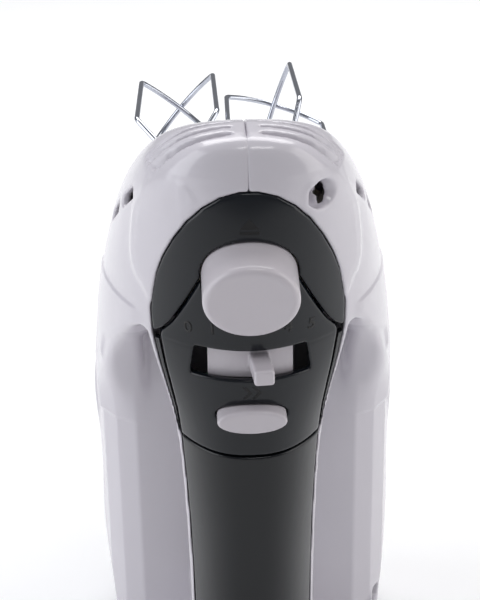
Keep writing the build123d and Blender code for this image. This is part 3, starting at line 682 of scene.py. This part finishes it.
# ------------------------------------------------------------------ marks on the panel
def glyph(name, text, x, z, size, tilt=0.0, raise_mm=0.07, depth=0.25):
    """A digit as a thin solid that follows the panel's surface."""
    cu = bpy.data.curves.new(name, "FONT")
    cu.body = text
    cu.align_x = "CENTER"
    cu.align_y = "CENTER"
    cu.size = size
    cu.extrude = 0.0
    cu.offset = size * 0.018
    tmp = bpy.data.objects.new(name + "_tmp", cu)
    link(tmp)
    dg = bpy.context.evaluated_depsgraph_get()
    me = bpy.data.meshes.new_from_object(tmp.evaluated_get(dg))
    bpy.data.objects.remove(tmp)
    flat_to_panel(name, me, x, z, tilt, raise_mm, depth)


def flat_to_panel(name, me, x, z, tilt, raise_mm, depth):
    import bmesh
    bm = bmesh.new()
    bm.from_mesh(me)
    bmesh.ops.remove_doubles(bm, verts=bm.verts, dist=1e-5)
    long = [e for e in bm.edges if e.calc_length() > 0.8]
    if long:
        bmesh.ops.subdivide_edges(bm, edges=long, cuts=2)
    bmesh.ops.triangulate(bm, faces=bm.faces)
    c, s = math.cos(tilt), math.sin(tilt)
    ring = bmesh.ops.extrude_face_region(bm, geom=list(bm.faces))
    top = set(v for v in ring["geom"] if isinstance(v, bmesh.types.BMVert))
    for v in bm.verts:
        px, pz = x + c * v.co.x - s * v.co.y, z + s * v.co.x + c * v.co.y
        y = surface_y(SKIN, px, pz)
        y = -46.0 if y is None else y
        v.co = Vector((px, y - raise_mm if v in top else y + depth, pz)) / 1000.0
    bmesh.ops.recalc_face_normals(bm, faces=bm.faces)
    out = bpy.data.meshes.new(name)
    bm.to_mesh(out)
    bm.free()
    o = bpy.data.objects.new(name, out)
    link(o)
    o.data.materials.append(MAT["mark"])
    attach(o, "housing")
    return o


for t, x, z in (("0", -17.0, 138.9), ("1", -10.4, 139.7), ("2", -3.5, 140.1), ("3", 3.4, 140.1), ("4", 10.4, 139.7), ("5", 17.0, 138.9)):
    glyph("speed_mark_" + t, t, x, z, 4.6, tilt=math.radians(-0.35 * x))


def poly_mesh(name, loops):
    me = bpy.data.meshes.new(name)
    v, f = [], []
    for lp in loops:
        f.append(tuple(range(len(v), len(v) + len(lp))))
        v += [(px, pz, 0.0) for px, pz in lp]
    me.from_pydata(v, [], f)
    return me


# eject symbol: a triangle over a bar; turbo symbol: a double chevron
flat_to_panel("eject_symbol", poly_mesh("eject_symbol", [[(-2.6, -0.4), (2.6, -0.4), (0.0, 2.4)], [(-2.6, -1.9), (2.6, -1.9), (2.6, -1.05), (-2.6, -1.05)]]), 0.0, 170.2, 0.0, 0.07, 0.25)
chev = []
for dx in (-1.3, 1.3):
    chev.append([(dx - 1.5, 1.8), (dx - 0.5, 1.8), (dx + 1.2, 0.0), (dx + 0.2, 0.0)])
    chev.append([(dx + 0.2, 0.0), (dx + 1.2, 0.0), (dx - 0.5, -1.8), (dx - 1.5, -1.8)])
flat_to_panel("turbo_symbol", poly_mesh("turbo_symbol", chev), 0.3, 120.6, 0.0, 0.07, 0.25)

# ------------------------------------------------------------------ camera
cam_data = bpy.data.cameras.new("camera")
cam_data.sensor_fit = "AUTO"
cam_data.sensor_width = 36.0
cam_data.lens = 1480.0 * 36.0 / 600.0
cam_data.clip_start = 0.01
cam_data.clip_end = 20.0
cam = bpy.data.objects.new("camera", cam_data)
link(cam)
right = Vector((0.99912202, -0.03849802, -0.01652544))
up = Vector((0.03074798, 0.40590929, 0.91339598))
back = -Vector((0.02845611, 0.91310216, -0.40673664))
rot = Matrix((right, up, back)).transposed()
cam.matrix_world = Matrix.Translation(Vector((-14.0526, -409.5309, 310.4071)) / 1000.0) @ rot.to_4x4()
scene.camera = cam

# ------------------------------------------------------------------ floor, light
def floor_material():
    m, nt, b = new_material("floor_paper")
    v = coords(nt)
    n = noise(nt, v, 6.0, 3.0, 0.5)
    nt.links.new(ramp(nt, n, [(0.2, (0.90, 0.90, 0.905)), (0.8, (0.93, 0.93, 0.935))]), b.inputs["Base Color"])
    nt.links.new(spread(nt, n, 0.85, 0.95), b.inputs["Roughness"])
    b.inputs["Specular IOR Level"].default_value = 0.2
    return m


fm = bpy.data.meshes.new("floor")
S = 6.0
fm.from_pydata([(-S, -S, 0), (S, -S, 0), (S, S, 0), (-S, S, 0)], [], [(0, 1, 2, 3)])
floor = bpy.data.objects.new("floor", fm)
link(floor)
floor.data.materials.append(floor_material())


def area(name, loc, target, size, size_y, power, color=(1, 1, 1)):
    d = bpy.data.lights.new(name, "AREA")
    d.shape = "RECTANGLE"
    d.size = size
    d.size_y = size_y
    d.energy = power
    d.color = color
    o = bpy.data.objects.new(name, d)
    link(o)
    o.location = loc
    o.rotation_euler = (Vector(target) - Vector(loc)).to_track_quat("-Z", "Y").to_euler()
    return o


T = (0.0, 0.0, 0.11)
area("key_left", (-1.10, -0.15, 0.50), T, 0.9, 1.3, 8.5, (0.95, 0.97, 1.0))
area("fill_right", (1.10, -0.10, 0.50), T, 0.8, 1.2, 5.5, (1.0, 0.985, 0.965))
area("top_back", (0.05, 0.75, 1.20), (0.0, 0.45, 0.0), 1.4, 0.9, 15.0, (1.0, 1.0, 1.0))
area("front_top", (0.15, -0.45, 0.95), T, 0.40, 0.18, 1.2, (1.0, 0.995, 0.985))

world = bpy.data.worlds.new("studio")
world.use_nodes = True
bg = world.node_tree.nodes["Background"]
bg.inputs["Color"].default_value = (0.93, 0.945, 0.98, 1.0)
bg.inputs["Strength"].default_value = 0.26
scene.world = world
scene.view_settings.view_transform = "Standard"
